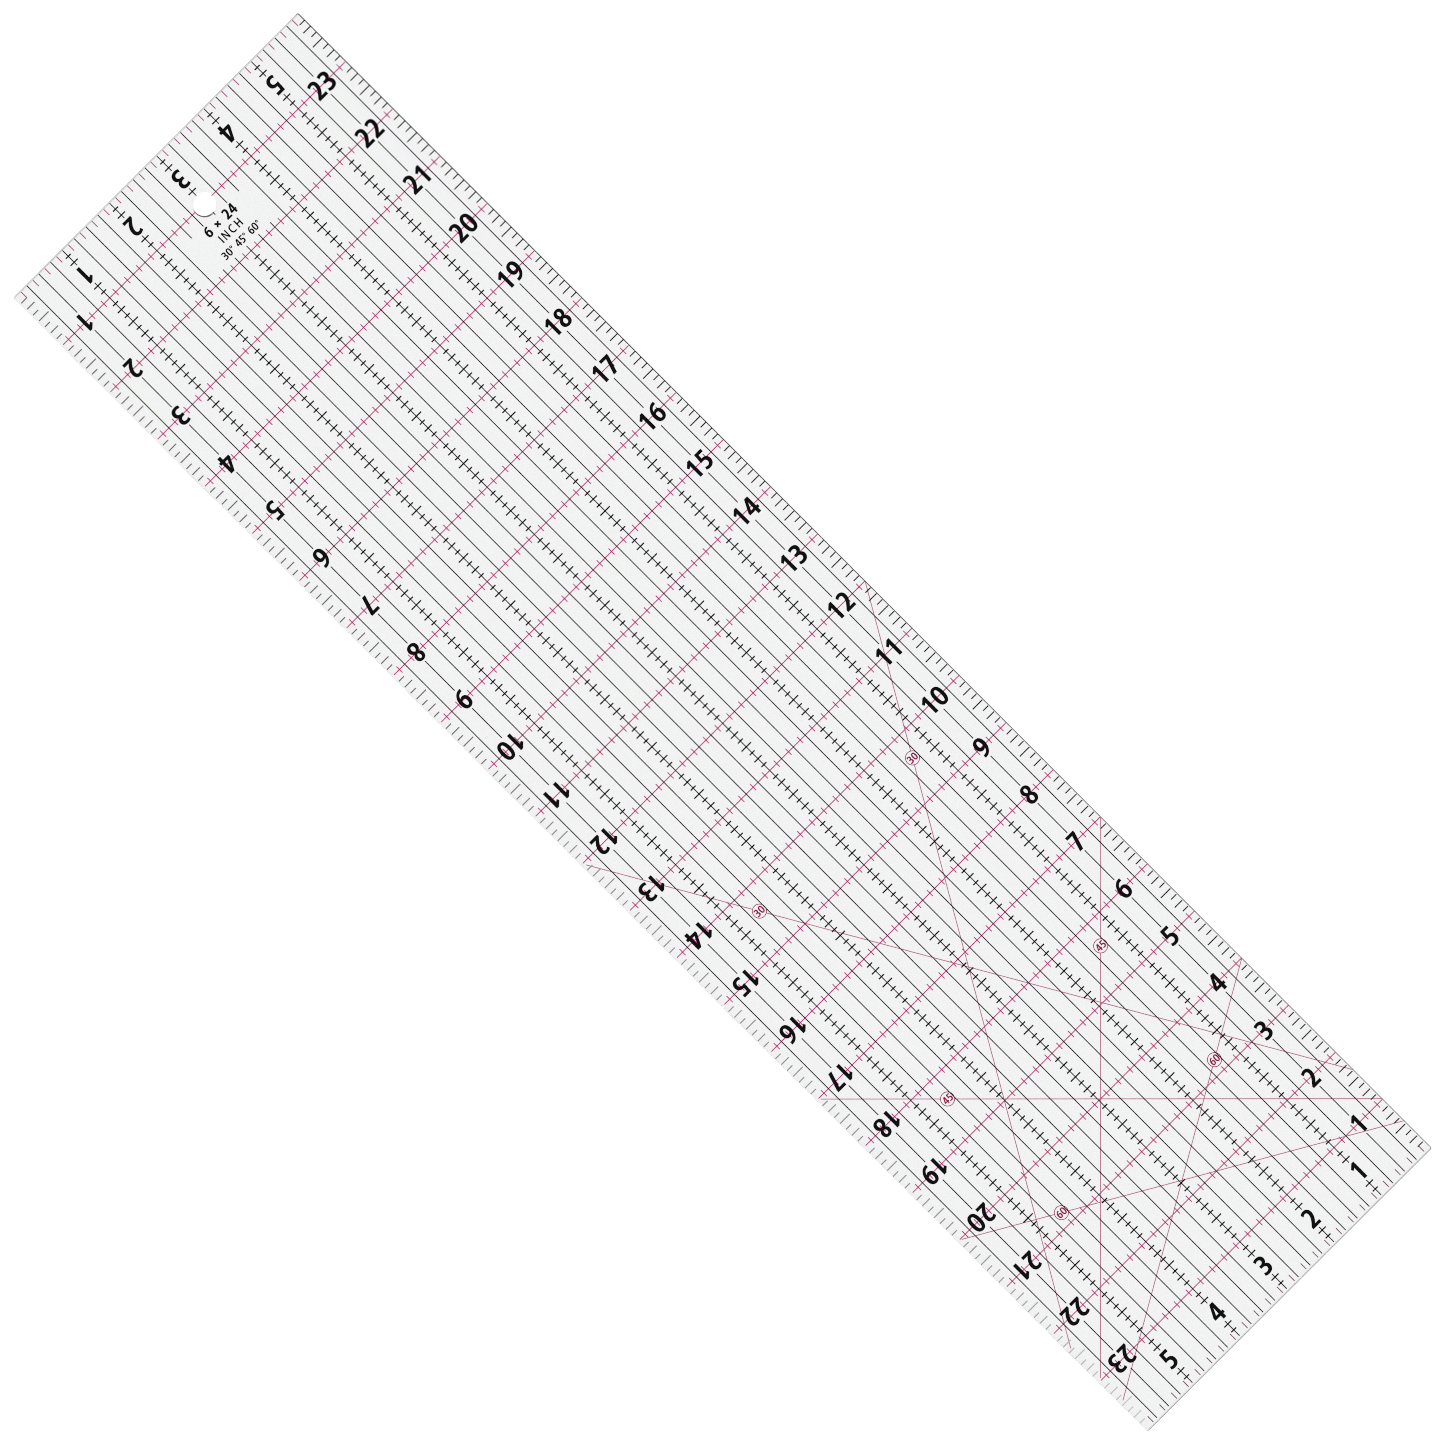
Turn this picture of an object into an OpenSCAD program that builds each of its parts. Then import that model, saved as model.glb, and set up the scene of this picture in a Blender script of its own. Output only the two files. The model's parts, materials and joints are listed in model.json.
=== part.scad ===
// Quilting ruler, 6 x 24 inch
// A clear acrylic sheet with a printed inch grid: black lengthwise lines, ticks
// and numerals over magenta inch lines, end ticks and 30, 45 and 60 degree lines.
// The sheet lies on its underside at z = 0 with the print on its top face.
// +Y runs along the scale toward the hanging hole, +X toward the right-hand edge.

/* [Sheet] */
// Length of the acrylic sheet
sheet_l = 611.5; // [610.6:0.1:612]
// Width of the acrylic sheet
sheet_w = 153.7; // [152.8:0.1:155]
// Thickness of the acrylic sheet
sheet_t = 3; // [2:0.1:5]
// Radius of the sheet's four corners
corner_r = 0.8; // [0.3:0.1:1.5]

/* [Hanging hole] */
// Diameter of the hanging hole
hole_d = 8.6; // [6:0.1:9]
// Distance of the hole from the zero end, in inches
hole_at = 23; // [22.95:0.01:23.05]

/* [Black print] */
// Thickness of the black ink film
black_t = 0.03; // [0.025:0.005:0.05]
// Width of the lengthwise grid lines
line_w = 0.4; // [0.2:0.02:0.6]
// Width of the ticks across the inch lines
tick_w = 0.54; // [0.2:0.02:0.6]
// Width of the ticks along the two long edges
edge_tick_w = 0.46; // [0.2:0.02:0.6]
// Length of the eighth ticks across the inch lines
eighth_tick = 2.7; // [2:0.1:3.4]
// Length of the quarter ticks across the inch lines
quarter_tick = 3.9; // [3:0.1:5]
// Length of the half ticks across the inch lines
half_tick = 5.1; // [4:0.1:6]
// Margin between the sheet's right edge and its ticks
right_gap = 0.45; // [0.45:0.05:0.9]
// Margin between the sheet's left edge and its ticks
left_gap = 0.75; // [0.45:0.05:0.9]
// Height of the scale numerals
digit_h = 7.4; // [6:0.1:8]
// Extra weight of their strokes on each side, in hundredths of their height
digit_weight = 1.8; // [0:0.2:2]
// Half of the gap left in a grid line around a numeral
numeral_gap = 4.7; // [4.4:0.1:5]

/* [Magenta print] */
// Thickness of the magenta ink film
magenta_t = 0.015; // [0.01:0.005:0.02]
// Width of the inch lines
inch_line_w = 0.38; // [0.2:0.02:0.5]
// Width of the magenta ticks
magenta_tick_w = 0.38; // [0.2:0.02:0.5]
// Length of the ticks across the inch lines
inch_tick = 3.3; // [2.6:0.1:4]
// Length of the ticks at the two short ends
end_tick = 3.1; // [2.4:0.1:3.6]
// Width of the angle lines
angle_line_w = 0.34; // [0.2:0.02:0.5]
// Outer diameter of the ring around an angle label
ring_d = 5.7; // [5:0.1:6]
// Width of that ring's line
ring_w = 0.3; // [0.2:0.02:0.4]
// Height of the angle labels' numerals
label_h = 2.9; // [2.4:0.05:3]
// Extra weight of those numerals' strokes, in hundredths of their height
label_weight = 2; // [0:0.2:2]

/* [Print registration] */
// Turn of the black print on the sheet, in degrees
black_skew = -0.065; // [-0.08:0.005:0]
// Turn of the magenta print on the sheet, in degrees
magenta_skew = 0.04; // [0:0.005:0.05]
// Sideways shift of the magenta print
magenta_shift = 0.5; // [0:0.05:0.5]
// Lengthwise shift of both prints
print_shift = 0.3; // [0:0.05:0.4]

/* [Hidden] */
inch = 25.4;
scale_l = 24;
scale_w = 6;
hole_x = 0;
hole_y = (hole_at - scale_l / 2) * inch;
rim = hole_d / 2 + 0.1;
// The blank panel below the hole runs from 22 3/32 to 22 49/64 inch
panel_lo = 22.1;
panel_hi = 22.76;
curve_steps = 6;
$fn = 64;

// ---------------------------------------------------------------- positions
// v is inches across from the right-hand edge, u is inches up from the zero end
function px(v) = (scale_w / 2 - v) * inch;
function py(u) = (u - scale_l / 2) * inch;

// Where a point of each print lies on the sheet, to the nearest micron
function micron(p) = [for (c = p) round(c * 1000) / 1000];
function turned(x, y, a) = [x * cos(a) - y * sin(a), x * sin(a) + y * cos(a)];
function on_black(x, y) = micron(turned(x, y, black_skew) + [0, print_shift]);
function on_magenta(x, y) = micron(turned(x, y, magenta_skew) + [magenta_shift, print_shift]);

black_ink = [0.06, 0.06, 0.07];
magenta_ink = [0.72, 0.1, 0.36];

// Long lines turn with their print
module black_print() {
    color(black_ink)
        translate([0, print_shift, sheet_t]) rotate([0, 0, black_skew]) children();
}

module magenta_print() {
    color(magenta_ink)
        translate([magenta_shift, print_shift, sheet_t]) rotate([0, 0, magenta_skew]) children();
}

// Ticks and numerals move with their print, and are too short for its turn to show
module black_at(x, y) {
    color(black_ink) translate([each on_black(x, y), sheet_t]) children();
}

module magenta_at(x, y) {
    color(magenta_ink) translate([each on_magenta(x, y), sheet_t]) children();
}

// A tick, from its middle
module bar(dx, dy, t) {
    translate([-dx / 2, -dy / 2, 0]) cube([dx, dy, t]);
}

// A lengthwise bar at v, from u0 to u1
module lengthwise(v, u0, u1) {
    if (u1 > u0)
        translate([px(v) - line_w / 2, py(u0), 0]) cube([line_w, py(u1) - py(u0), black_t]);
}

// A straight line between two points, as [x, y]
module stroke(a, b, w, t) {
    d = b - a;
    translate([a[0], a[1], 0]) rotate([0, 0, atan2(d[1], d[0])])
        translate([0, -w / 2, 0]) cube([norm(d), w, t]);
}

// ---------------------------------------------------------------- numerals
// Outlines on a grid 100 high. A pair is a straight edge to that point; six
// numbers are a cubic curve: two handles and its end point.
function tip(e) = len(e) == 2 ? e : [e[4], e[5]];
function cubic(a, b, c, d, n) =
    [for (i = [1:n]) let (t = i / n, s = 1 - t)
        s * s * s * a + 3 * s * s * t * b + 3 * s * t * t * c + t * t * t * d];
function outline(p) =
    [for (i = [0:len(p) - 1]) let (e = p[i], q = tip(p[(i + len(p) - 1) % len(p)]))
        each (len(e) == 2 ? [e] : cubic(q, [e[0], e[1]], [e[2], e[3]], [e[4], e[5]], curve_steps))];
// The same outline with its doubled points dropped, then moved out by d on every side
function distinct(p) =
    [for (i = [0:len(p) - 1]) if (norm(p[i] - p[(i + len(p) - 1) % len(p)]) > 0.01) p[i]];
function unit(v) = v / norm(v);
function swept(p) =
    let (n = len(p)) [for (i = [0:n - 1]) cross(p[i], p[(i + 1) % n])] * [for (i = [0:n - 1]) 1];
function bolder(p, d) =
    let (n = len(p), s = d * sign(swept(p)))
        [for (i = [0:n - 1]) let (
            a = unit(p[i] - p[(i + n - 1) % n]),
            b = unit(p[(i + 1) % n] - p[i])
        ) p[i] + s * [a[1] + b[1], -a[0] - b[0]] / max(0.4, 1 + a * b)];
function sum_to(l, k) = k <= 0 ? 0 : l[k - 1] + sum_to(l, k - 1);
function half_turned(p, w) =
    [for (e = p) [for (i = [0:len(e) - 1]) i % 2 == 0 ? w - e[i] : 100 - e[i]]];

// Each numeral: left bearing, width, outlines
zero = [5, 62, [
    [[0, 50], [0, 82, 9, 101.5, 31, 101.5], [53, 101.5, 62, 82, 62, 50],
     [62, 18, 53, -1.5, 31, -1.5], [9, -1.5, 0, 18, 0, 50]],
    [[17, 50], [17, 26, 21, 12, 31, 12], [41, 12, 45, 26, 45, 50],
     [45, 74, 41, 88, 31, 88], [21, 88, 17, 74, 17, 50]]
]];
one = [14, 36, [
    [[36, 0], [36, 100], [23.5, 100], [0, 78], [5.5, 68], [19.5, 77.5], [19.5, 0]]
]];
two = [8, 55, [
    [[0, 0], [55, 0], [55, 14], [23, 14], [38, 29, 52.5, 47, 52.5, 71],
     [52.5, 90, 41, 101.5, 24.5, 101.5], [15, 101.5, 7, 98, 1.5, 93], [6.5, 80.5],
     [11, 84.5, 16.5, 87.5, 22, 87.5], [31, 87.5, 35.5, 81, 35.5, 71],
     [35.5, 52, 21, 33, 0, 10.5]]
]];
three = [7.5, 56, [
    [[0, 4], [5, 0.5, 12, -1.5, 21, -1.5], [43, -1.5, 56, 10.5, 56, 28],
     [56, 41, 48, 49.5, 37, 52], [47, 55.5, 53.5, 64, 53.5, 75.5],
     [53.5, 91, 42, 101.5, 23.5, 101.5], [14, 101.5, 7, 99.5, 2, 96.5], [5.5, 83.5],
     [9, 86, 14, 88, 19.5, 88], [30, 88, 36, 82.5, 36, 74],
     [36, 64, 27.5, 58.5, 17, 58.5], [9, 58.5], [9, 45.5], [17.5, 45.5],
     [29.5, 45.5, 38.5, 40, 38.5, 29], [38.5, 19, 31, 12, 19, 12],
     [12, 12, 6.5, 14, 3, 16.5]]
]];
four = [5.5, 64, [
    [[37.5, 0], [54, 0], [54, 22], [64, 22], [64, 35], [54, 35], [54, 100],
     [34, 100], [0, 34.5], [0, 22], [37.5, 22]],
    [[37.5, 35], [16.5, 35], [37.5, 77]]
]];
five = [9.5, 54, [
    [[0, 4], [5, 0.5, 12, -1.5, 20, -1.5], [41, -1.5, 54, 11.5, 54, 31],
     [54, 50, 42, 60.5, 25, 60.5], [19, 60], [20, 86],
     [50, 86], [50, 100], [6, 100], [3, 47.5], [7, 48.3, 11, 48.7, 15, 48.7],
     [29, 48.7, 36.5, 42.5, 36.5, 31], [36.5, 19, 29, 12, 18, 12],
     [11.5, 12, 6.5, 14, 3, 16.5]]
]];
six = [6.5, 60, [
    [[52.5, 101], [39, 101.5, 28, 97.5, 19, 88.5], [7, 76.5, 0, 60, 0, 38.5],
     [0, 13, 11, -1.5, 30, -1.5], [48, -1.5, 60, 12, 60, 33],
     [60, 53, 50, 65.5, 35, 65.5], [31.5, 65.5, 28, 64.8, 25, 63.2], [18.5, 58.5],
     [19.8, 66], [23.5, 80, 35, 88, 52.5, 88]],
    [[17.5, 41], [17.5, 22, 22, 11.5, 30.5, 11.5], [38.5, 11.5, 43, 20, 43, 32.5],
     [43, 45.5, 38.5, 53, 30.5, 53], [23.5, 53, 17.5, 47.5, 17.5, 41]]
]];
seven = [8, 54, [
    [[0, 100], [0, 86], [35.5, 86], [8.5, 0], [26.5, 0], [54, 89], [54, 100]]
]];
eight = [5.5, 60, [
    [[30.5, 101.5], [14.5, 101.5, 3.5, 91, 3.5, 75], [3.5, 65, 8.5, 57.5, 18, 52],
     [7, 46.5, 0, 37.5, 0, 25.5], [0, 9.5, 12, -1.5, 29.5, -1.5],
     [47.5, -1.5, 60, 9.5, 60, 27], [60, 39, 53, 47.5, 41.5, 52],
     [51.5, 57.5, 56.5, 66, 56.5, 76], [56.5, 91, 46, 101.5, 30.5, 101.5]],
    [[30.5, 58], [24.5, 61.5, 19.5, 67.5, 19.5, 75.5], [19.5, 84, 24, 89.5, 30.5, 89.5],
     [37, 89.5, 41, 84, 41, 75], [41, 66.5, 36.5, 61, 30.5, 58]],
    [[29.5, 45.5], [37.5, 42, 43, 36, 43, 26.5], [43, 17, 37.5, 10.5, 30, 10.5],
     [22.5, 10.5, 17, 17, 17, 26], [17, 34.5, 21.5, 41.5, 29.5, 45.5]]
]];
nine = [5.5, 60, [half_turned(six[2][0], 60), half_turned(six[2][1], 60)]];
DIGITS = [zero, one, two, three, four, five, six, seven, eight, nine];
advance = 72.4;

module digit(d, h, t, weight) {
    g = DIGITS[d];
    rings = [for (k = [0:len(g[2]) - 1]) bolder(distinct(outline(g[2][k])), k == 0 ? weight : -weight)];
    sizes = [for (r = rings) len(r)];
    scale_ = h / 100;
    linear_extrude(t) polygon(
        [for (r = rings) each [for (q = r) micron([q[0] * scale_, (q[1] - 50) * scale_])]],
        [for (k = [0:len(rings) - 1]) [for (i = [0:sizes[k] - 1]) sum_to(sizes, k) + i]]);
}

// Width of a numeral's ink, and where its first digit's ink starts
function ink_l(ds) = DIGITS[ds[0]][0];
function ink_r(ds) = (len(ds) - 1) * advance + DIGITS[ds[len(ds) - 1]][0] + DIGITS[ds[len(ds) - 1]][1];
function digits_of(n) = n < 10 ? [n] : [floor(n / 10), n % 10];

// A whole numeral, with the middle of its ink at the origin
module numeral(n, h, t, weight = digit_weight) {
    ds = digits_of(n);
    mid = (ink_l(ds) + ink_r(ds)) / 2;
    for (i = [0:len(ds) - 1])
        translate([each micron([(i * advance + DIGITS[ds[i]][0] - mid) * h / 100, 0]), 0]) digit(ds[i], h, t, weight);
}

// ---------------------------------------------------------------- sheet
module acrylic_sheet() {
    color([0.9, 0.93, 0.93, 0.35]) difference() {
        translate([-sheet_w / 2, -sheet_l / 2, 0]) cube([sheet_w, sheet_l, sheet_t]);
        translate([hole_x, hole_y, -1]) cylinder(d = hole_d, h = sheet_t + 2);
        for (a = [0, 1], b = [0, 1]) mirror([a, 0, 0]) mirror([0, b, 0]) corner_cut();
    }
}

// What rounding takes off the sheet's +X +Y corner
module corner_cut() {
    translate([sheet_w / 2 - corner_r, sheet_l / 2 - corner_r, -1]) difference() {
        cube([corner_r + 1, corner_r + 1, sheet_t + 2]);
        cylinder(r = corner_r, h = sheet_t + 2);
    }
}

// ---------------------------------------------------------------- black print
// Gaps in the line at v, as [from, to] in inches along the scale
function gaps(v) =
    let (g = numeral_gap / inch)
    v == 0.5 || v == 5.5 ? [for (k = [1:scale_l - 1]) [k - g, k + g]]
    : v == 3 ? [[0.5 - g, 0.5 + g], [panel_lo, panel_hi],
                [hole_at - (rim + print_shift) / inch, hole_at + (rim - print_shift) / inch],
                [23.5 - g, 23.5 + g]]
    : v == round(v) ? [[0.5 - g, 0.5 + g], [23.5 - g, 23.5 + g]]
    : abs(v - 3) < 0.6 ? [[panel_lo, panel_hi]]
    : [];

module quarter_inch_lines() {
    black_print() for (k = [1:4 * scale_w - 1]) {
        v = k / 4;
        g = gaps(v);
        n = len(g);
        for (i = [0:n])
            lengthwise(v, i == 0 ? 0 : g[i - 1][1], i == n ? scale_l : g[i][0]);
    }
}

function in_gap(v, u) = len([for (g = gaps(v)) if (u > g[0] && u < g[1]) 1]) > 0;
function near_hole(v, u) = v == 3 && abs(u - hole_at) < 0.2;

// Tick length for the k-th eighth of an inch
function across(k) = k % 4 == 0 ? half_tick : k % 2 == 0 ? quarter_tick : eighth_tick;

module inch_line_ticks() {
    for (v = [1:scale_w - 1], k = [1:8 * scale_l - 1])
        if (k % 8 != 0 && !in_gap(v, k / 8) && !near_hole(v, k / 8))
            black_at(px(v), py(k / 8)) bar(across(k), tick_w, black_t);
}

// Ticks from a long edge inward; side is 1 at the right edge and -1 at the left
module edge_ticks(side, gap) {
    for (k = [1:8 * scale_l - 1])
        if (k % 8 != 0) {
            l = across(k) + 0.1;
            black_at(side * (sheet_w / 2 - gap - l / 2), py(k / 8)) bar(l, edge_tick_w, black_t);
        }
}

module right_edge_ticks() { edge_ticks(1, right_gap); }
module left_edge_ticks() { edge_ticks(-1, left_gap); }

module right_scale_numerals() {
    for (k = [1:scale_l - 1])
        black_at(px(0.5), py(k)) numeral(k, digit_h, black_t);
}

module left_scale_numerals() {
    for (k = [1:scale_l - 1])
        black_at(px(5.5), py(scale_l - k)) rotate([0, 0, 180]) numeral(k, digit_h, black_t);
}

module zero_end_numerals() {
    for (k = [1:scale_w - 1])
        black_at(px(k), py(0.5)) numeral(k, digit_h, black_t);
}

module hole_end_numerals() {
    for (k = [1:scale_w - 1])
        black_at(px(scale_w - k), py(23.5)) rotate([0, 0, 180]) numeral(k, digit_h, black_t);
}

// Capital letters for the size mark, on the same 100-high grid: width, outline
cap_i = [14, [[0, 0], [14, 0], [14, 100], [0, 100]]];
cap_n = [66, [[0, 0], [13, 0], [13, 74], [50, 0], [66, 0], [66, 100], [53, 100], [53, 26], [16, 100], [0, 100]]];
cap_c = [66, [[66, 4], [60, 0, 52, -1.5, 42, -1.5], [16, -1.5, 0, 18, 0, 49],
              [0, 81, 17, 101.5, 43, 101.5], [52, 101.5, 60, 100, 65, 97], [61.5, 85],
              [57, 87.5, 51, 89, 44, 89], [25, 89, 14.5, 74, 14.5, 49.5],
              [14.5, 25, 25, 11, 43.5, 11], [51, 11, 57.5, 12.5, 63, 15.5]]];
cap_h = [64, [[0, 0], [14, 0], [14, 44], [50, 44], [50, 0], [64, 0], [64, 100], [50, 100], [50, 57], [14, 57], [14, 100], [0, 100]]];
times = [50, [[0, 23], [9, 14], [25, 30], [41, 14], [50, 23], [34, 39], [50, 55], [41, 64], [25, 48], [9, 64], [0, 55], [16, 39]]];

module letter(g, h, t, weight) {
    linear_extrude(t)
        polygon([for (q = bolder(distinct(outline(g[1])), weight)) micron([q[0] * h / 100, (q[1] - 50) * h / 100])]);
}

module degree_ring(h, t) {
    translate([0, h * 0.33, 0]) difference() {
        cylinder(r = h * 0.18, h = t);
        translate([0, 0, -1]) cylinder(r = h * 0.07, h = t + 2);
    }
}

// Generic size and angle mark in the panel below the hole
module size_mark() {
    black_at(px(3), py(22.65)) {
        translate([-6.6, 0, 0]) numeral(6, 4, black_t, 2.6);
        translate([-2.9, 0.1, 0]) letter(times, 4, black_t, 2.6);
        translate([4.8, 0, 0]) numeral(24, 4, black_t, 2.6);
    }
    black_at(px(3), py(22.435)) {
        translate([-5.35, 0, 0]) letter(cap_i, 3.3, black_t, 1.6);
        translate([-3.75, 0, 0]) letter(cap_n, 3.3, black_t, 1.6);
        translate([-0.35, 0, 0]) letter(cap_c, 3.3, black_t, 1.6);
        translate([3.05, 0, 0]) letter(cap_h, 3.3, black_t, 1.6);
    }
    for (i = [0:2]) black_at(px(3) - 6.9 + 6.9 * i, py(22.22)) {
        translate([-0.4, 0, 0]) numeral(30 + 15 * i, 3, black_t, 1.6);
        translate([2.4, 0, 0]) degree_ring(3, black_t);
    }
}

// ---------------------------------------------------------------- magenta print
right_end = 0.01;   // start of the inch and angle lines, inches in from the nominal right edge
left_end = 5.99;    // end of the inch lines
angle_left_end = 5.97;

module magenta_inch_lines() {
    magenta_print() for (u = [1:scale_l - 1])
        if (abs(u - hole_at) < 0.2) {
            c = hole_y * sin(magenta_skew) - magenta_shift;
            stroke([px(left_end), py(u)], [c - rim, py(u)], inch_line_w, magenta_t);
            stroke([c + rim, py(u)], [px(right_end), py(u)], inch_line_w, magenta_t);
        } else
            stroke([px(left_end), py(u)], [px(right_end), py(u)], inch_line_w, magenta_t);
}

module magenta_inch_line_ticks() {
    for (u = [1:scale_l - 1], k = [0:4 * scale_w - 1]) {
        v = 0.125 + k / 4;
        if (!(abs(u - hole_at) < 0.2 && abs(v - 3) < 0.2))
            magenta_at(px(v), py(u)) bar(magenta_tick_w, inch_tick, magenta_t);
    }
}

module magenta_zero_end_ticks() {
    for (k = [0:4 * scale_w - 1])
        magenta_at(px(0.125 + k / 4), py(0) + end_tick / 2) bar(magenta_tick_w, end_tick, magenta_t);
}

module magenta_hole_end_ticks() {
    for (k = [0:4 * scale_w - 1])
        magenta_at(px(0.125 + k / 4), py(scale_l) - end_tick / 2) bar(magenta_tick_w, end_tick, magenta_t);
}

// Labels sit 1 3/8 inch in from each long edge
label_v = 1.375;

// Point s inches across from a line's high side, where its label is. u_hi is
// where the line meets that side and slope is its fall per inch across.
function along(side, s, u_hi, slope) = [px(side == 0 ? s : scale_w - s), py(u_hi - slope * s)];

// A pair of mirrored lines at an angle, one falling from each long edge
module angle_pair(u_hi, slope) {
    half = (ring_d / 2 - ring_w / 2) / inch / sqrt(1 + slope * slope);
    magenta_print() for (side = [0, 1]) {
        s0 = side == 0 ? right_end : scale_w - angle_left_end;
        s1 = side == 0 ? angle_left_end : scale_w - right_end;
        stroke(along(side, s0, u_hi, slope), along(side, label_v - half, u_hi, slope), angle_line_w, magenta_t);
        stroke(along(side, label_v + half, u_hi, slope), along(side, s1, u_hi, slope), angle_line_w, magenta_t);
    }
}

module magenta_45_degree_lines() { angle_pair(7, 1); }
module magenta_30_degree_lines() { angle_pair(12, tan(60)); }
module magenta_60_degree_lines() { angle_pair(4, tan(30)); }

// [angle, inches along the scale]
LABELS = [[45, 7 - label_v], [30, 12 - tan(60) * label_v], [60, 4 - tan(30) * label_v]];

module angle_label_rings() {
    for (l = LABELS, side = [0, 1])
        magenta_at(px(side == 0 ? label_v : scale_w - label_v), py(l[1])) difference() {
            cylinder(d = ring_d, h = magenta_t);
            translate([0, 0, -1]) cylinder(d = ring_d - 2 * ring_w, h = magenta_t + 2);
        }
}

module angle_label_numerals() {
    for (l = LABELS, side = [0, 1])
        magenta_at(px(side == 0 ? label_v : scale_w - label_v), py(l[1]))
            numeral(l[0], label_h, magenta_t, label_weight);
}

acrylic_sheet();
quarter_inch_lines();
inch_line_ticks();
right_edge_ticks();
left_edge_ticks();
right_scale_numerals();
left_scale_numerals();
zero_end_numerals();
hole_end_numerals();
size_mark();
magenta_inch_lines();
magenta_inch_line_ticks();
magenta_zero_end_ticks();
magenta_hole_end_ticks();
magenta_45_degree_lines();
magenta_30_degree_lines();
magenta_60_degree_lines();
angle_label_rings();
angle_label_numerals();
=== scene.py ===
import json
import math

import bmesh
import bpy
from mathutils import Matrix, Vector


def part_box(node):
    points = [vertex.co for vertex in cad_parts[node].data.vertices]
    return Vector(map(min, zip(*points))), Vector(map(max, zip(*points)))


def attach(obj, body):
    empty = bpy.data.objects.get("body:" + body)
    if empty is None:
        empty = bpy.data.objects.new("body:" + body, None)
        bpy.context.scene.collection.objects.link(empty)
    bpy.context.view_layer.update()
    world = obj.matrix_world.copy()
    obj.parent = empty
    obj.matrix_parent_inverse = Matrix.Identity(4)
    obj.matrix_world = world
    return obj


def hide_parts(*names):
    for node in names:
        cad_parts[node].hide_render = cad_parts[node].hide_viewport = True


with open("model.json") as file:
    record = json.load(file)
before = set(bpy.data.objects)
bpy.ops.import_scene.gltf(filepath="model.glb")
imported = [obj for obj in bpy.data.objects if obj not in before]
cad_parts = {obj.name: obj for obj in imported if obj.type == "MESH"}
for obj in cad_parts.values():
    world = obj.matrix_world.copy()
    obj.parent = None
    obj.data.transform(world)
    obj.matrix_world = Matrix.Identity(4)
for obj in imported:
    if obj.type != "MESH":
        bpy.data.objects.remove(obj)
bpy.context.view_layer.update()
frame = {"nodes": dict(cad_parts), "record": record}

NODES = frame["nodes"]


scene = bpy.context.scene
scene.view_settings.view_transform = "Standard"
scene.view_settings.look = "None"
scene.cycles.filter_width = 1.0


# ------------------------------------------------------------------ node helpers
class Tree:
    """A material's node tree, with short ways to add nodes."""

    def __init__(self, name):
        self.mat = bpy.data.materials.new(name)
        self.mat.use_nodes = True
        self.nt = self.mat.node_tree
        self.nt.nodes.clear()
        self.out = self.nt.nodes.new("ShaderNodeOutputMaterial")

    def add(self, kind, **values):
        n = self.nt.nodes.new(kind)
        for k, v in values.items():
            setattr(n, k, v)
        return n

    def link(self, a, b):
        self.nt.links.new(a, b)

    def coords(self):
        return self.add("ShaderNodeTexCoord").outputs["Object"]

    def mapped(self, scale, rotation=(0, 0, 0), location=(0, 0, 0)):
        m = self.add("ShaderNodeMapping")
        m.inputs["Scale"].default_value = scale
        m.inputs["Rotation"].default_value = rotation
        m.inputs["Location"].default_value = location
        self.link(self.coords(), m.inputs["Vector"])
        return m.outputs[0]

    def noise(self, vector, scale, detail=2.0, rough=0.5):
        n = self.add("ShaderNodeTexNoise")
        n.inputs["Scale"].default_value = scale
        n.inputs["Detail"].default_value = detail
        n.inputs["Roughness"].default_value = rough
        self.link(vector, n.inputs["Vector"])
        return n.outputs["Fac"]

    def remap(self, value, a, b, to_a, to_b):
        n = self.add("ShaderNodeMapRange")
        n.clamp = True
        for k, v in (("From Min", a), ("From Max", b), ("To Min", to_a), ("To Max", to_b)):
            n.inputs[k].default_value = v
        self.link(value, n.inputs["Value"])
        return n.outputs["Result"]

    def math(self, op, a, b):
        n = self.add("ShaderNodeMath", operation=op)
        for i, v in enumerate((a, b)):
            if isinstance(v, (int, float)):
                n.inputs[i].default_value = v
            else:
                self.link(v, n.inputs[i])
        return n.outputs[0]

    def blend(self, factor, a, b):
        """A colour between two, each a colour or an output."""
        n = self.add("ShaderNodeMix", data_type="RGBA")
        self.link(factor, n.inputs[0])
        for i, v in ((6, a), (7, b)):
            if isinstance(v, tuple):
                n.inputs[i].default_value = (*v, 1)
            else:
                self.link(v, n.inputs[i])
        return n.outputs[2]

    def bump(self, height, strength, distance):
        n = self.add("ShaderNodeBump")
        n.inputs["Strength"].default_value = strength
        n.inputs["Distance"].default_value = distance
        self.link(height, n.inputs["Height"])
        return n.outputs[0]


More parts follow.
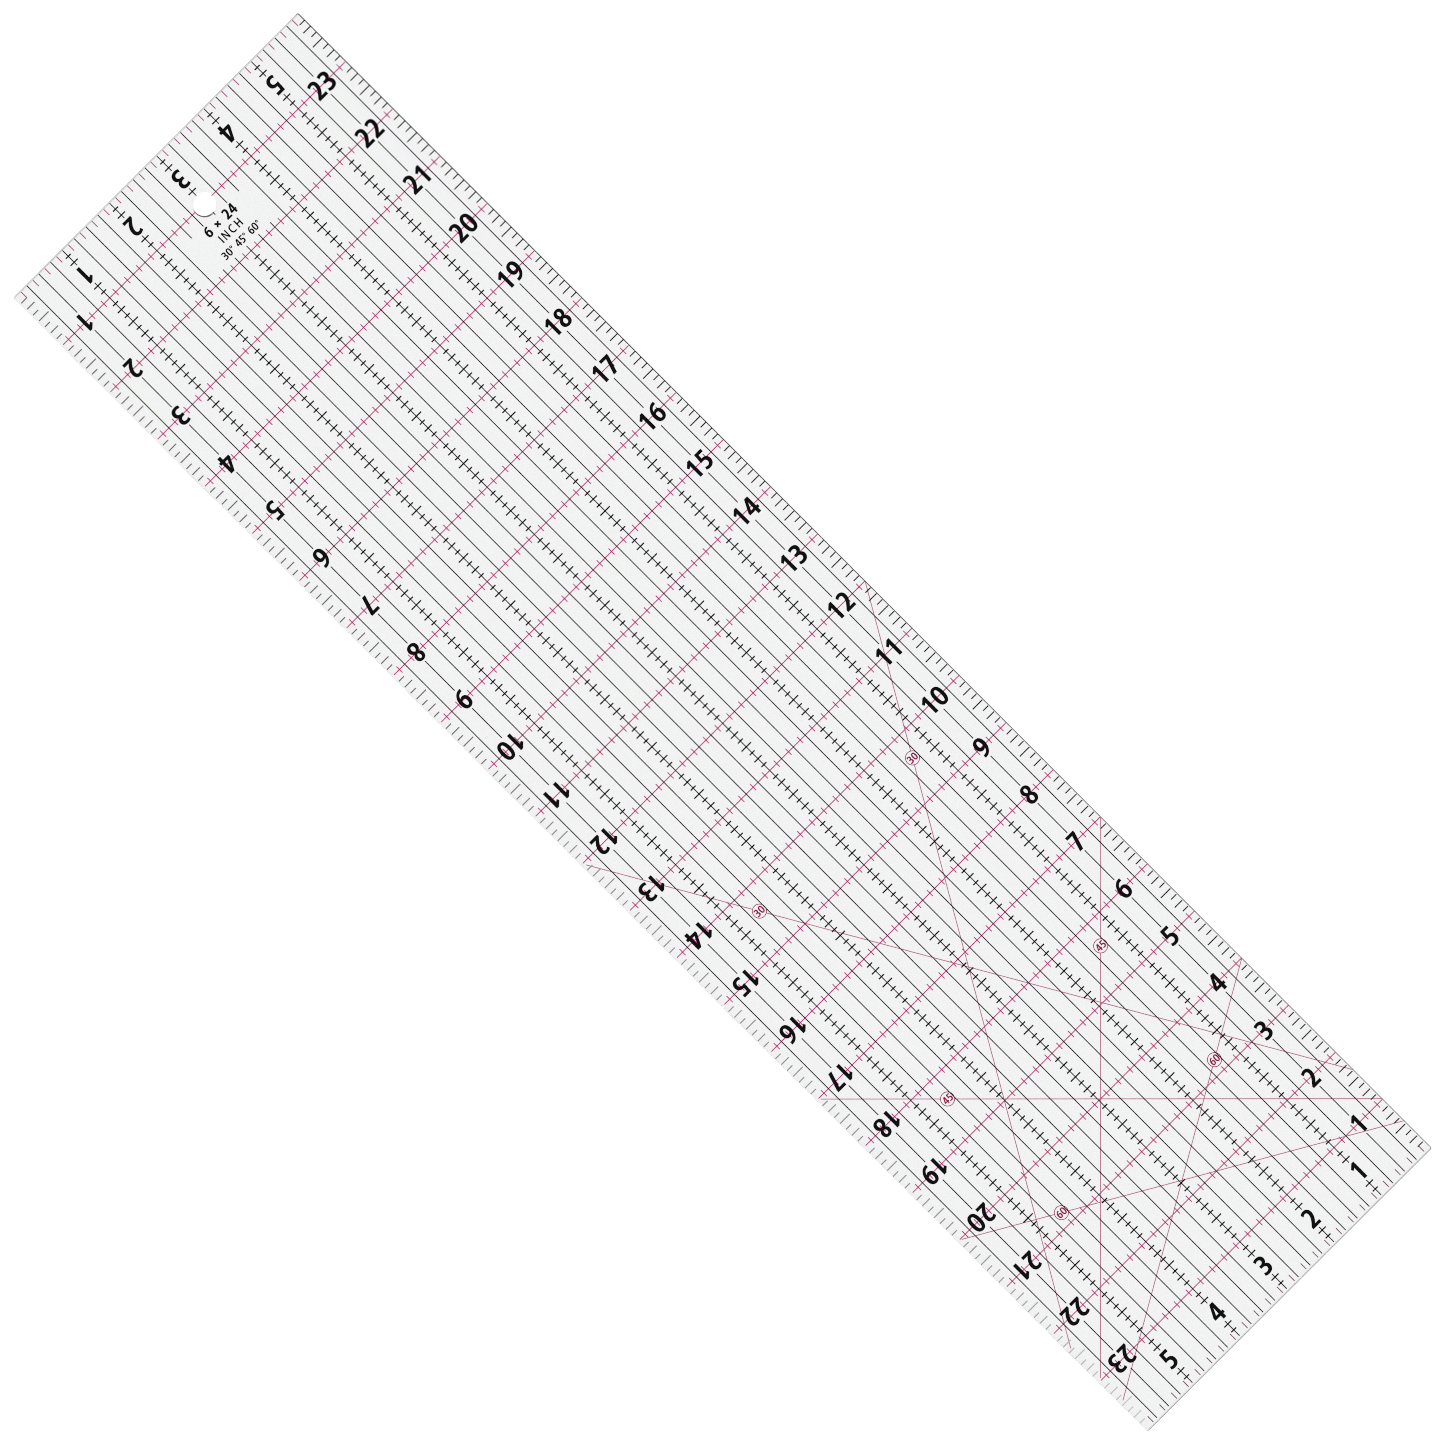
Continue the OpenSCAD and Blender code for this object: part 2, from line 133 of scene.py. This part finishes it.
# ------------------------------------------------------------------ ink
def ink(name, dense, thin, thin_share=0.35, specular=0.12, seed=(0, 0, 0), faded=None):
    """Screen-printed ink: a dense film, a little thinner in small patches, satin and slightly grained. A faded
    colour takes over gradually toward the zero end, where the squeegee left less ink."""
    t = Tree(name)
    p = t.add("ShaderNodeBsdfPrincipled")
    fine = t.noise(t.mapped((1, 1, 1), location=seed), 3200, 2.0, 0.6)
    broad = t.noise(t.mapped((1, 1, 1), location=seed), 60, 3.0, 0.55)
    patches = t.math("MULTIPLY", t.remap(fine, 0.45, 0.75, 0, 1), t.remap(broad, 0.35, 0.7, 0.3, 1))
    tone = t.blend(t.math("MULTIPLY", patches, thin_share), dense, thin)
    if faded:
        axes = t.add("ShaderNodeSeparateXYZ")
        t.link(t.coords(), axes.inputs[0])
        fade = t.math("ADD", t.remap(axes.outputs["Y"], 0.06, 0, 0, 0.36), t.remap(axes.outputs["Y"], -0.205, -0.30, 0, 0.64))
        fade = t.math("MULTIPLY", fade, t.remap(broad, 0.3, 0.7, 0.85, 1.05))
        tone = t.blend(fade, tone, faded)
    t.link(tone, p.inputs["Base Color"])
    t.link(t.remap(fine, 0.3, 0.7, 0.38, 0.58), p.inputs["Roughness"])
    t.link(t.bump(fine, 0.25, 0.00001), p.inputs["Normal"])
    p.inputs["Specular IOR Level"].default_value = specular
    t.link(p.outputs[0], t.out.inputs["Surface"])
    return t.mat


BLACK = (0.0015, 0.0015, 0.002)
BLACK_THIN = (0.007, 0.007, 0.008)
MAGENTA = (0.25, 0.001, 0.06)
MAGENTA_THIN = (0.34, 0.015, 0.10)

black = ink("black_ink", BLACK, BLACK_THIN, 0.5, 0.04)
black_worn = ink("black_ink_left_edge", (0.12, 0.12, 0.122), (0.17, 0.17, 0.172), 0.5, 0.04, (0.02, 0.4, 0), (0.50, 0.50, 0.505))
magenta = ink("magenta_ink", MAGENTA, MAGENTA_THIN, 0.4, 0.06, (0.13, 0.07, 0))
magenta_line = ink("magenta_ink_line", (0.40, 0.002, 0.135), (0.55, 0.05, 0.25), 0.5, 0.08, (0.31, 0.02, 0))
zero_end_tick = ink("magenta_ink_zero_end", (0.15, 0.04, 0.07), (0.28, 0.13, 0.16), 0.5, 0.15, (0.05, 0.21, 0))
angle_line = ink("magenta_ink_angle_line", (0.38, 0.11, 0.19), (0.52, 0.26, 0.34), 0.5, 0.08, (0.23, 0.19, 0))
hole_end_tick = ink("magenta_ink_hole_end", (0.34, 0.02, 0.15), (0.48, 0.12, 0.26), 0.5, 0.15, (0.17, 0.11, 0))

INKS = {
    "quarter_inch_lines": black,
    "inch_line_ticks": black,
    "right_edge_ticks": black,
    "left_edge_ticks": black_worn,
    "right_scale_numerals": black,
    "left_scale_numerals": black,
    "zero_end_numerals": black,
    "hole_end_numerals": black,
    "size_mark": black,
    "magenta_inch_lines": magenta_line,
    "magenta_inch_line_ticks": magenta_line,
    "magenta_zero_end_ticks": zero_end_tick,
    "magenta_hole_end_ticks": hole_end_tick,
    "magenta_45_degree_lines": angle_line,
    "magenta_30_degree_lines": angle_line,
    "magenta_60_degree_lines": angle_line,
    "angle_label_rings": magenta,
    "angle_label_numerals": magenta,
}
for name, mat in INKS.items():
    ob = NODES[name]
    if not ob.material_slots:
        ob.data.materials.append(mat)
    for s in ob.material_slots:
        s.material = mat
    ob.visible_shadow = False
    ob.visible_diffuse = False


# ------------------------------------------------------------------ acrylic
def acrylic_face():
    """Polished cast acrylic: clear, with hairline handling scratches and a faint waviness."""
    t = Tree("clear_acrylic_face")
    p = t.add("ShaderNodeBsdfPrincipled")
    # grey tint that dims what is seen through the sheet: partly the plastic's own dimming, partly painted shade
    # standing in for the shadow the sheet and its print would cast on the floor below, which shadow rays here pass by
    p.inputs["Base Color"].default_value = (0.866, 0.868, 0.871, 1)
    p.inputs["Transmission Weight"].default_value = 1.0
    p.inputs["IOR"].default_value = 1.49
    marks = None
    for k, (turn, scale, cut) in enumerate(((0.35, 2100, 0.70), (-0.6, 1700, 0.72), (1.25, 2500, 0.71))):
        line = t.noise(t.mapped((1, 0.012, 0), (0, 0, turn), (0.3 * k, 0.7 * k, 0)), scale, 0.0)
        where = t.noise(t.mapped((1, 1, 0), (0, 0, 0), (0.9 * k, 0.2 * k, 0)), 22, 1.0)
        one = t.math("MULTIPLY", t.remap(line, cut, cut + 0.04, 0, 1), t.remap(where, 0.5, 0.62, 0, 1))
        marks = one if marks is None else t.math("MAXIMUM", marks, one)
    haze = t.remap(t.noise(t.mapped((1, 1, 0)), 14, 4.0, 0.6), 0.4, 0.75, 0.012, 0.045)
    t.link(t.math("ADD", haze, t.math("MULTIPLY", marks, 0.11)), p.inputs["Roughness"])
    wave = t.noise(t.mapped((1, 1, 0)), 9, 1.0)
    t.link(t.bump(t.math("SUBTRACT", wave, t.math("MULTIPLY", marks, 0.004)), 0.3, 0.0004), p.inputs["Normal"])
    clear = t.add("ShaderNodeBsdfTransparent")
    clear.inputs["Color"].default_value = (0.985, 0.985, 0.985, 1)
    mix = t.add("ShaderNodeMixShader")
    t.link(t.add("ShaderNodeLightPath").outputs["Is Shadow Ray"], mix.inputs[0])
    t.link(p.outputs[0], mix.inputs[1])
    t.link(clear.outputs[0], mix.inputs[2])
    t.link(mix.outputs[0], t.out.inputs["Surface"])
    return t.mat


def acrylic_edge():
    """The cut edge: the same plastic with fine saw lines down the wall, so it is half frosted and half see-through."""
    t = Tree("clear_acrylic_cut_edge")
    p = t.add("ShaderNodeBsdfPrincipled")
    p.inputs["Transmission Weight"].default_value = 0.32
    p.inputs["IOR"].default_value = 1.49
    saw = t.noise(t.mapped((1, 1, 0.02)), 2600, 2.0, 0.6)
    patch = t.noise(t.mapped((1, 1, 0.3)), 70, 2.0)
    t.link(t.blend(t.remap(saw, 0.3, 0.7, 0, 1), (0.58, 0.61, 0.61), (0.79, 0.815, 0.815)), p.inputs["Base Color"])
    t.link(t.math("ADD", t.remap(saw, 0.3, 0.7, 0.18, 0.34), t.remap(patch, 0.35, 0.65, 0.0, 0.12)), p.inputs["Roughness"])
    t.link(t.bump(saw, 0.5, 0.00003), p.inputs["Normal"])
    clear = t.add("ShaderNodeBsdfTransparent")
    clear.inputs["Color"].default_value = (0.9, 0.9, 0.9, 1)
    mix = t.add("ShaderNodeMixShader")
    t.link(t.add("ShaderNodeLightPath").outputs["Is Shadow Ray"], mix.inputs[0])
    t.link(p.outputs[0], mix.inputs[1])
    t.link(clear.outputs[0], mix.inputs[2])
    t.link(mix.outputs[0], t.out.inputs["Surface"])
    return t.mat


def acrylic_arris(hx, hy, hr):
    """The eased corner between face and edge, frosted. Its grey is painted shade for the dark line the edges show
    under this light:
    darkest along the +X side toward the hole end, a little darker at the zero end, lightest along the -X side, and
    around the hole a painted dark crescent only on the side toward the left end of the panel."""
    t = Tree("clear_acrylic_arris_painted_shade")
    p = t.add("ShaderNodeBsdfPrincipled")
    p.inputs["IOR"].default_value = 1.49
    p.inputs["Specular IOR Level"].default_value = 0.25
    axes = t.add("ShaderNodeSeparateXYZ")
    t.link(t.coords(), axes.inputs[0])
    x, y = axes.outputs["X"], axes.outputs["Y"]
    right, left = t.remap(x, 0.0755, 0.0762, 0, 1), t.remap(x, -0.0755, -0.0762, 0, 1)
    zero_end = t.remap(y, -0.3048, -0.3052, 0, 1)
    shade_patchiness = t.noise(t.mapped((1, 1, 1)), 45, 4.0, 0.6)
    fine = t.noise(t.mapped((1, 1, 1)), 1800, 2.0, 0.6)
    along = t.remap(y, -0.30, 0.1, 0.3, 1.0)
    # painted shade: the arris is lightest along the -X side, darkest along the +X side and deepening toward the hole
    # end, and a little darker at the zero end, standing in for how the light falls on the edges
    grey = t.math("ADD", 0.52, t.math("MULTIPLY", left, 0.42))
    grey = t.math("SUBTRACT", grey, t.math("MULTIPLY", right, t.math("MULTIPLY", along, 0.52)))
    grey = t.math("SUBTRACT", grey, t.math("MULTIPLY", zero_end, 0.14))
    # random patchiness laid over the painted shade
    grey = t.math("MULTIPLY", grey, t.remap(shade_patchiness, 0.3, 0.7, 0.75, 1.1))
    dx, dy = t.math("SUBTRACT", x, hx), t.math("SUBTRACT", y, hy)
    away = t.math("SQRT", t.math("ADD", t.math("MULTIPLY", dx, dx), t.math("MULTIPLY", dy, dy)), 0)
    # painted shade: a dark crescent on the hole's rim, on the side toward -X and the zero end, light elsewhere around
    # the hole
    arc = t.remap(t.math("ADD", t.math("MULTIPLY", dx, -0.75), t.math("MULTIPLY", dy, -0.66)), hr * 0.45, hr * 0.85, 0, 1)
    bore = t.remap(away, hr + 0.001, hr + 0.0015, 1, 0)
    hole_rim_shade = t.math("SUBTRACT", 0.97, t.math("MULTIPLY", arc, 0.87))
    grey = t.math("ADD", t.math("MULTIPLY", grey, t.math("SUBTRACT", 1, bore)), t.math("MULTIPLY", hole_rim_shade, bore))
    grey = t.math("MULTIPLY", grey, t.remap(fine, 0.3, 0.7, 0.9, 1.05))
    t.link(t.blend(grey, (0.012, 0.012, 0.014), (0.95, 0.95, 0.95)), p.inputs["Base Color"])
    t.link(t.remap(fine, 0.3, 0.7, 0.25, 0.45), p.inputs["Roughness"])
    t.link(t.bump(fine, 0.4, 0.00002), p.inputs["Normal"])
    clear = t.add("ShaderNodeBsdfTransparent")
    clear.inputs["Color"].default_value = (0.985, 0.985, 0.985, 1)
    mix = t.add("ShaderNodeMixShader")
    t.link(t.add("ShaderNodeLightPath").outputs["Is Shadow Ray"], mix.inputs[0])
    t.link(p.outputs[0], mix.inputs[1])
    t.link(clear.outputs[0], mix.inputs[2])
    t.link(mix.outputs[0], t.out.inputs["Surface"])
    return t.mat


def ring(bm, points, z):
    return [bm.verts.new((x, y, z)) for x, y in points]


def strip(bm, a, b, slot, flip=False):
    """Quads between two rings of the same count."""
    n = len(a)
    for i in range(n):
        j = (i + 1) % n
        f = bm.faces.new((a[i], a[j], b[j], b[i]) if not flip else (b[i], b[j], a[j], a[i]))
        f.material_index = slot


def rounded(lx, ly, hx, hy, r, steps):
    """A rounded rectangle, counterclockwise, as (x, y) points."""
    out = []
    for cx, cy, a0 in ((hx - r, hy - r, 0), (lx + r, hy - r, 90), (lx + r, ly + r, 180), (hx - r, ly + r, 270)):
        for k in range(steps + 1):
            a = math.radians(a0 + 90 * k / steps)
            out.append((cx + r * math.cos(a), cy + r * math.sin(a)))
    return out


def circle(cx, cy, r, n):
    return [(cx + r * math.cos(2 * math.pi * k / n), cy + r * math.sin(2 * math.pi * k / n)) for k in range(n)]


def sheet_piece():
    """The sheet with its eased edges, as one closed mesh: faces in slot 0, cut edges in slot 1, the top's eased
    corner and the drilled hole in slot 2."""
    low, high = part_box("acrylic_sheet")
    mount = next(m for m in frame["record"]["mounts"] if m["name"] == "hanging_hole")
    hx, hy = mount["pos_m"][0], mount["pos_m"][1]
    hr = mount["dims"]["r_mm"] / 1000
    r, ease, z0, z1 = 0.0008, 0.0004, low.z, high.z
    bm = bmesh.new()
    big = rounded(low.x, low.y, high.x, high.y, r, 8)
    small = rounded(low.x + ease, low.y + ease, high.x - ease, high.y - ease, r - ease, 8)
    hole, wide = circle(hx, hy, hr, 96), circle(hx, hy, hr + ease, 96)
    outer = [ring(bm, small, z0), ring(bm, big, z0 + ease), ring(bm, big, z1 - ease), ring(bm, small, z1)]
    inner = [ring(bm, wide, z0), ring(bm, hole, z0 + ease), ring(bm, hole, z1 - ease), ring(bm, wide, z1)]
    for k in range(3):
        strip(bm, outer[k], outer[k + 1], 2 if k == 2 else 1)
        strip(bm, inner[k], inner[k + 1], 2, flip=True)
    bm.edges.ensure_lookup_table()
    for k in (0, 3):
        loops = []
        for vs in (outer[k], inner[k]):
            for i in range(len(vs)):
                loops.append(bm.edges.get((vs[i], vs[(i + 1) % len(vs)])))
        made = bmesh.ops.triangle_fill(bm, use_beauty=True, use_dissolve=False, edges=loops)
        for f in made["geom"]:
            if isinstance(f, bmesh.types.BMFace):
                f.material_index = 0
    bmesh.ops.recalc_face_normals(bm, faces=bm.faces)
    mesh = bpy.data.meshes.new("acrylic_body")
    bm.to_mesh(mesh)
    bm.free()
    ob = bpy.data.objects.new("acrylic_body", mesh)
    scene.collection.objects.link(ob)
    mesh.materials.append(acrylic_face())
    mesh.materials.append(acrylic_edge())
    mesh.materials.append(acrylic_arris(hx, hy, hr))
    return ob


body = sheet_piece()
body.visible_diffuse = False
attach(body, "root")
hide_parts("acrylic_sheet")


# ------------------------------------------------------------------ floor, light, camera
def floor_piece():
    bm = bmesh.new()
    half, z = 6.0, -0.0002
    vs = [bm.verts.new((x, y, z)) for x, y in ((-half, -half), (half, -half), (half, half), (-half, half))]
    bm.faces.new(vs)
    mesh = bpy.data.meshes.new("floor")
    bm.to_mesh(mesh)
    bm.free()
    ob = bpy.data.objects.new("floor", mesh)
    scene.collection.objects.link(ob)
    t = Tree("studio_floor")
    p = t.add("ShaderNodeBsdfPrincipled")
    p.inputs["Base Color"].default_value = (0.9, 0.9, 0.9, 1)
    p.inputs["Roughness"].default_value = 0.9
    p.inputs["Specular IOR Level"].default_value = 0.0
    t.link(p.outputs[0], t.out.inputs["Surface"])
    mesh.materials.append(t.mat)
    return ob


floor = floor_piece()

world = bpy.data.worlds.new("studio")
scene.world = world
world.use_nodes = True
wt = world.node_tree
sky = wt.nodes["Background"]
sky.inputs["Color"].default_value = (1, 1, 1, 1)
# the backdrop meets the floor in the same white, and is a shade dimmer overhead
up = wt.nodes.new("ShaderNodeSeparateXYZ")
wt.links.new(wt.nodes.new("ShaderNodeTexCoord").outputs["Generated"], up.inputs[0])
rise = wt.nodes.new("ShaderNodeMapRange")
rise.interpolation_type = "SMOOTHSTEP"
for key, value in (("From Min", 0.02), ("From Max", 0.6), ("To Min", 1.02), ("To Max", 0.82)):
    rise.inputs[key].default_value = value
wt.links.new(up.outputs["Z"], rise.inputs["Value"])
wt.links.new(rise.outputs["Result"], sky.inputs["Strength"])


def sun(name, strength, angle, direction):
    """A soft sun whose light travels along direction."""
    data = bpy.data.lights.new(name, "SUN")
    data.energy = strength
    data.angle = math.radians(angle)
    ob = bpy.data.objects.new(name, data)
    scene.collection.objects.link(ob)
    ob.rotation_euler = Vector(direction).to_track_quat("-Z", "Y").to_euler()
    return ob


sun("key", 1.25, 40, (1.0, -0.35, -1.4))

camera = bpy.data.objects.new("camera", bpy.data.cameras.new("camera"))
scene.collection.objects.link(camera)
camera.data.type = "PERSP"
camera.data.sensor_width = 36
camera.data.lens = 117.7
camera.data.clip_start = 0.05
camera.data.clip_end = 50
camera.location = (0.01151, 0.01813, 1.80278)
camera.rotation_euler = [math.radians(a) for a in (-0.6505, -0.1396, -44.9924)]
scene.camera = camera

bpy.context.view_layer.update()
